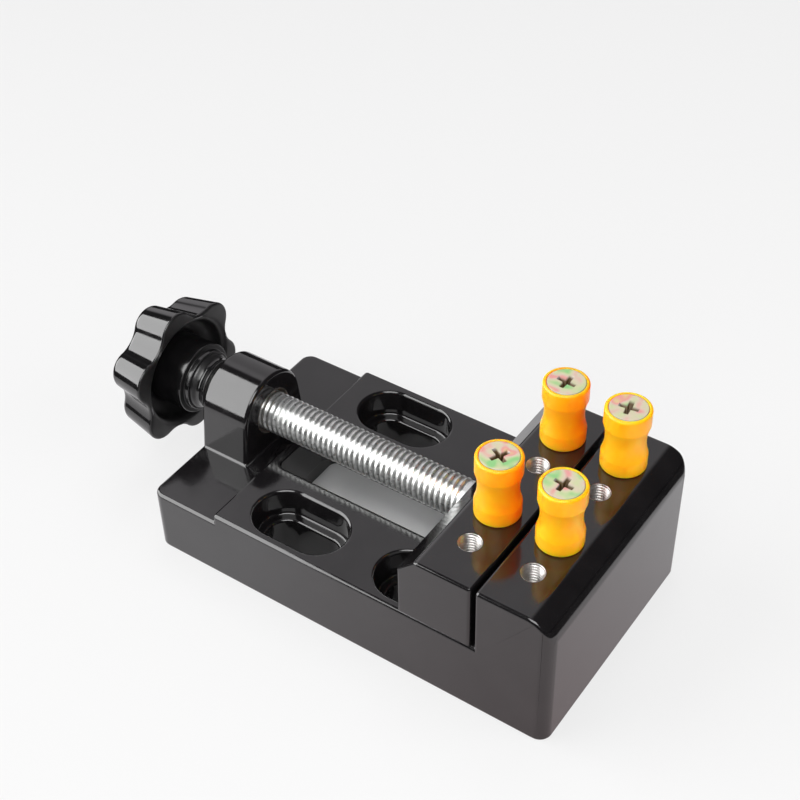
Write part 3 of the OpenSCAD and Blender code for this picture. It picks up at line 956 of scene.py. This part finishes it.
def sleeve(name, x, y, body, node):
    """A waisted sleeve with round rims and a countersunk seat."""
    depth = SLEEVE_RADIUS - SLEEVE_WAIST_RADIUS
    waist_round = ((SLEEVE_WAIST_LENGTH / 2) ** 2 + depth ** 2) / (2 * depth)
    waist_centre = (SLEEVE_WAIST_RADIUS + waist_round, SLEEVE_WAIST_HEIGHT)
    half = math.degrees(math.asin(SLEEVE_WAIST_LENGTH / 2 / waist_round))
    inset = SLEEVE_RADIUS - SLEEVE_RIM
    seat = HEAD_RADIUS + SEAT_GAP
    seat_foot = SLEEVE_HEIGHT - HEAD_EDGE
    section = arc((inset, SLEEVE_RIM), SLEEVE_RIM, -90, 0, 6)
    section += arc(waist_centre, waist_round, 180 + half, 180 - half, 24)
    section += arc((inset, SLEEVE_HEIGHT - SLEEVE_RIM), SLEEVE_RIM, 0, 90, 6)
    section += [(seat + SEAT_GAP, SLEEVE_HEIGHT), (seat, SLEEVE_HEIGHT - SEAT_EDGE), (seat, seat_foot)]
    section += [(SLEEVE_BORE, seat_foot - seat + SLEEVE_BORE)]
    section += [(SLEEVE_BORE, SLEEVE_BORE_EDGE), (SLEEVE_BORE + SLEEVE_BORE_EDGE, 0.0)]
    mesh = loft(name, upright_loops(section, x, y, JAW_TOP), ring=True)
    even_normals(piece(name, mesh, body, "sleeve_amber", (node,)))


def cross_cutter(turn):
    """A tapered cross, wider at the top, that cuts the driver's recess."""
    loops = []
    for half_width, reach, height in RECESS_LEVELS:
        shoulder = reach * ARM_SHOULDER
        tip = half_width * ARM_TIP
        arm_outline = ((shoulder, -half_width), (reach, -tip), (reach, tip), (shoulder, half_width),
                       (half_width * ARM_ROOT, half_width))
        loop = []
        for arm in range(4):
            angle = math.radians(turn + 90 * arm)
            for u, v in arm_outline:
                across = u * math.cos(angle) - v * math.sin(angle)
                along = u * math.sin(angle) + v * math.cos(angle)
                loop.append(Vector((across, along, height)) * MM)
        loops.append(loop)
    return loft("cross_cutter", loops)


def peg_blank():
    """A countersunk screw without its recess, upright over the origin."""
    top = SLEEVE_HEIGHT
    cone_top = top - HEAD_EDGE
    section = list(SHANK)
    section += [(SHANK_RADIUS, cone_top - HEAD_RADIUS + CONE_FOOT_RADIUS)]
    section += [(HEAD_RADIUS - HEAD_SOFT, cone_top - HEAD_SOFT), (HEAD_RADIUS, cone_top + HEAD_EDGE_LIFT)]
    section += arc((HEAD_RADIUS - HEAD_ROUND, top - HEAD_ROUND), HEAD_ROUND, 0, 90, 6)
    section += [(HEAD_FLAT_RADIUS, top), (HEAD_MIDDLE_RADIUS, top)]
    angles = turns(PEG_SCREW_STEPS)
    loops = [[Vector((r * math.cos(a), r * math.sin(a), h)) * MM for a in angles] for r, h in section]
    return loft("peg_blank", loops)


def peg_screw(name, x, y, body, node, turn):
    """A countersunk screw with a cross recess."""
    blank = added("peg_blank", peg_blank())
    cutter = added("cross_cutter", cross_cutter(turn))
    cutter.location = (0, 0, SLEEVE_HEIGHT * MM)
    cut = blank.modifiers.new("cross", "BOOLEAN")
    cut.operation = "DIFFERENCE"
    cut.solver = "EXACT"
    cut.object = cutter
    ready = blank.evaluated_get(bpy.context.evaluated_depsgraph_get())
    mesh = bpy.data.meshes.new_from_object(ready)
    bpy.data.objects.remove(blank)
    bpy.data.objects.remove(cutter)
    mesh.transform(Matrix.Translation(place(x, y, JAW_TOP)))
    mesh.name = name
    made = piece(name, mesh, body, "chromate", (node,))
    round_edges(made, PEG_SCREW_ROUNDING)
    even_normals(made)


for jaw, holes_x, body in JAWS:
    for side, y in zip(SIDES, PEG_HOLES_Y):
        peg = jaw + "_" + side
        sleeve(peg + "_sleeve_moulding", holes_x, y, body, peg + "_sleeve")
        peg_screw(peg + "_cross_screw", holes_x, y, body, peg + "_screw", RECESS_TURN[peg])

# Pieces that stay as they are, with better finishes

KEEPER_ROUNDING = 0.2

for entry in frame["record"]["subparts"]:
    node = frame["nodes"][entry["node"]]
    node.data.materials.clear()
    node.data.materials.append(MATERIALS[entry["material_slot"]])
frame["nodes"]["keeper_plate"].data.materials[0] = dull_plate()
for name in ("keeper_plate", "keeper_screws", "lock_washers"):
    round_edges(frame["nodes"][name], KEEPER_ROUNDING)

# Floor

FLOOR_GREY = 0.84
FLOOR_DARK = 0.02
FLOOR_GLOW = 0.70
FLOOR_SHADOWED = 0.13
FOOT_INSET = 1.5
TABLE_RADIUS = 135.0
FLOOR_RADIUS = 8000.0
BACKDROP_HEIGHT = 700.0
# The table's colour in reflections: a painted shadow at the base's near front corner, and its plain colour
# farther away than the reach
CORNER_SHADOW_COLOUR = (0.56, 0.44, 0.45)
TABLE_COLOUR = (1.0, 0.98, 1.0)
CORNER_REACH = 90.0
# Rays that see the floor in one way
CAMERA_RAYS = ("Is Camera Ray", "Is Transmission Ray")
SHINY_RAYS = ("Is Glossy Ray",)
DULL_RAYS = ("Is Diffuse Ray",)


def floor_paint(name, glow_rays, dark_rays, corner_rays=()):
    """Pale floor. glow_rays see it nearly evenly bright with a soft shadow, dark_rays see it as a dark
    room, and corner_rays see it bright, with a painted shadow that dims it towards the base's near front
    corner."""
    material = bpy.data.materials.new(name)
    material.use_nodes = True
    nodes = Nodes(material.node_tree)
    nodes.tree.nodes.clear()
    path = nodes.add("ShaderNodeLightPath")

    def matte(grey):
        node = nodes.add("ShaderNodeBsdfDiffuse")
        node.inputs["Color"].default_value = (grey, grey, grey, 1)
        return node.outputs[0]

    def glowing(colour=None):
        glow = nodes.add("ShaderNodeEmission")
        glow.inputs["Strength"].default_value = FLOOR_GLOW
        if colour:
            nodes.link(colour, glow.inputs["Color"])
        both = nodes.add("ShaderNodeAddShader")
        nodes.link(matte(FLOOR_SHADOWED), both.inputs[0])
        nodes.link(glow.outputs[0], both.inputs[1])
        return both.outputs[0]

    # Painted shadow: in reflections the table dims and reddens towards the base's near front corner
    def painted_corner_shadow():
        corner = place(BASE_LENGTH, -BASE_HALF_WIDTH, 0)
        distance = nodes.measured("DISTANCE", nodes.coordinates("Object"), corner)
        share = nodes.between(distance, 0.0, 1.0, 0.0, CORNER_REACH * MM)
        return nodes.ramp(share, ((0.0, CORNER_SHADOW_COLOUR), (1.0, TABLE_COLOUR)))

    def shown_to(rays, shader, otherwise):
        for ray in rays:
            choice = nodes.add("ShaderNodeMixShader")
            for target, output in zip(choice.inputs, (path.outputs[ray], otherwise, shader)):
                nodes.link(output, target)
            otherwise = choice.outputs[0]
        return otherwise

    surface = shown_to(glow_rays, glowing(), matte(FLOOR_GREY))
    if corner_rays:
        surface = shown_to(corner_rays, glowing(painted_corner_shadow()), surface)
    surface = shown_to(dark_rays, matte(FLOOR_DARK), surface)
    nodes.link(surface, nodes.add("ShaderNodeOutputMaterial").inputs["Surface"])
    return material


def floor():
    """A pale floor: under the base, the table that shiny surfaces see, the rest, and a low backdrop."""
    low = place(FOOT_INSET, FOOT_INSET - BASE_HALF_WIDTH, 0)
    high = place(BASE_LENGTH - FOOT_INSET, BASE_HALF_WIDTH - FOOT_INSET, 0)
    middle = (low + high) / 2
    half = (high - low) / 2
    ways = [Vector((math.cos(turn), math.sin(turn), 0)) for turn in turns(ROUND_STEPS)]
    reach = [min(half.x / max(abs(way.x), MERGE), half.y / max(abs(way.y), MERGE)) for way in ways]
    shape = bmesh.new()
    foot = [shape.verts.new(middle + way * length) for way, length in zip(ways, reach)]
    table = [shape.verts.new(way * TABLE_RADIUS * MM) for way in ways]
    rim = [shape.verts.new(way * FLOOR_RADIUS * MM) for way in ways]
    backdrop = [shape.verts.new(vertex.co + Vector((0, 0, BACKDROP_HEIGHT * MM))) for vertex in rim]
    shape.faces.new(foot)
    for inner, outer, number in ((foot, table, 1), (table, rim, 2), (rim, backdrop, 2)):
        for i in range(ROUND_STEPS):
            j = (i + 1) % ROUND_STEPS
            face = shape.faces.new((inner[i], outer[i], outer[j], inner[j]))
            face.material_index = number
    mesh = finished(shape, "floor")
    mesh.materials.append(floor_paint("floor_under_base", (), ()))
    mesh.materials.append(floor_paint("floor_table", CAMERA_RAYS, (), SHINY_RAYS))
    mesh.materials.append(floor_paint("floor_far", CAMERA_RAYS, SHINY_RAYS + DULL_RAYS))
    added("floor", mesh)


# Light

# Lamps that light only dull surfaces
SOFT_AIM = (0.03, 0.0, 0.04)
SOFT_SIZE = (0.50, 0.50)
# Each lamp's name, centre, aim, size, brightness as seen, and if it shows in shiny surfaces
LAMPS = (
    ("key", (-0.6, -0.62, 0.60), (0.4, -0.62, 0.60), (1.30, 1.20), 4.8, True),
    ("fill", (0.20, -0.50, 0.80), (0.0, 0.0, 0.03), (0.60, 0.60), 4.5, True),
    ("front", (0.45, -0.60, 0.35), SOFT_AIM, SOFT_SIZE, 4.2, False),
    ("side", (0.55, 0.10, 0.35), SOFT_AIM, SOFT_SIZE, 3.4, False),
    ("top", (-0.05, 0.25, 0.90), SOFT_AIM, SOFT_SIZE, 3.2, False),
)
# Bearings at which the wall behind the vise changes, in degrees, how bright it is there, and its tint
WALL = ((0, 0.03), (26, 0.03), (33, 0.95), (40, 0.90), (48, 0.62), (76, 0.62), (92, 0.03))
WALL_GREEN = 0.97


def lamp(name, centre, aim, size, radiance, shows):
    """A soft panel."""
    width, height = size
    light = bpy.data.lights.new(name, "AREA")
    light.shape = "RECTANGLE"
    light.size = width
    light.size_y = height
    light.energy = radiance * math.pi * width * height
    made = added(name, light)
    made.location = centre
    made.rotation_euler = (Vector(aim) - Vector(centre)).to_track_quat("-Z", "Y").to_euler()
    made.visible_glossy = shows


def world():
    """A dark room with a pale wall behind the vise. The bearing turns from the left (0) to the back."""
    space = bpy.data.worlds.new("studio")
    bpy.context.scene.world = space
    space.use_nodes = True
    nodes = Nodes(space.node_tree)
    parts = nodes.split(nodes.coordinates("Generated"))
    bearing = nodes.math("ARCTAN2", parts["Y"], nodes.math("MULTIPLY", parts["X"], -1.0))
    stops = [(degrees / 180, (grey, grey * WALL_GREEN, grey)) for degrees, grey in WALL]
    wall = nodes.ramp(nodes.math("DIVIDE", bearing, math.pi), stops)
    nodes.link(wall, nodes.tree.nodes["Background"].inputs["Color"])


# Camera

CAMERA_AZIMUTH = math.radians(35.344)
CAMERA_ELEVATION = math.radians(41.553)
CAMERA_ROLL = math.radians(-1.404)
CAMERA_DISTANCE = 364.077
CAMERA_SHIFT = (0.057, 24.504)
CAMERA_LENS = 68.95
LOOK_AT = (50.6, 0.0, 15.0)


def camera():
    """The photograph's viewpoint."""
    right = Vector((math.cos(CAMERA_AZIMUTH), math.sin(CAMERA_AZIMUTH), 0))
    level_back = Vector((math.sin(CAMERA_AZIMUTH), -math.cos(CAMERA_AZIMUTH), 0))
    back = math.cos(CAMERA_ELEVATION) * level_back + Vector((0, 0, math.sin(CAMERA_ELEVATION)))
    up = back.cross(right)
    turned_right = math.cos(CAMERA_ROLL) * right + math.sin(CAMERA_ROLL) * up
    turned_up = math.cos(CAMERA_ROLL) * up - math.sin(CAMERA_ROLL) * right
    offset = CAMERA_SHIFT[0] * turned_right + CAMERA_SHIFT[1] * turned_up + CAMERA_DISTANCE * back
    view = bpy.data.cameras.new("camera")
    view.lens = CAMERA_LENS
    view.sensor_width = 36.0
    view.clip_start = 0.01
    view.clip_end = 100.0
    made = added("camera", view)
    turn = Matrix((turned_right, turned_up, back)).transposed()
    made.matrix_world = Matrix.Translation(place(*LOOK_AT) + offset * MM) @ turn.to_4x4()
    bpy.context.scene.camera = made


floor()
for settings in LAMPS:
    lamp(*settings)
world()
camera()
bpy.context.scene.view_settings.view_transform = "Standard"
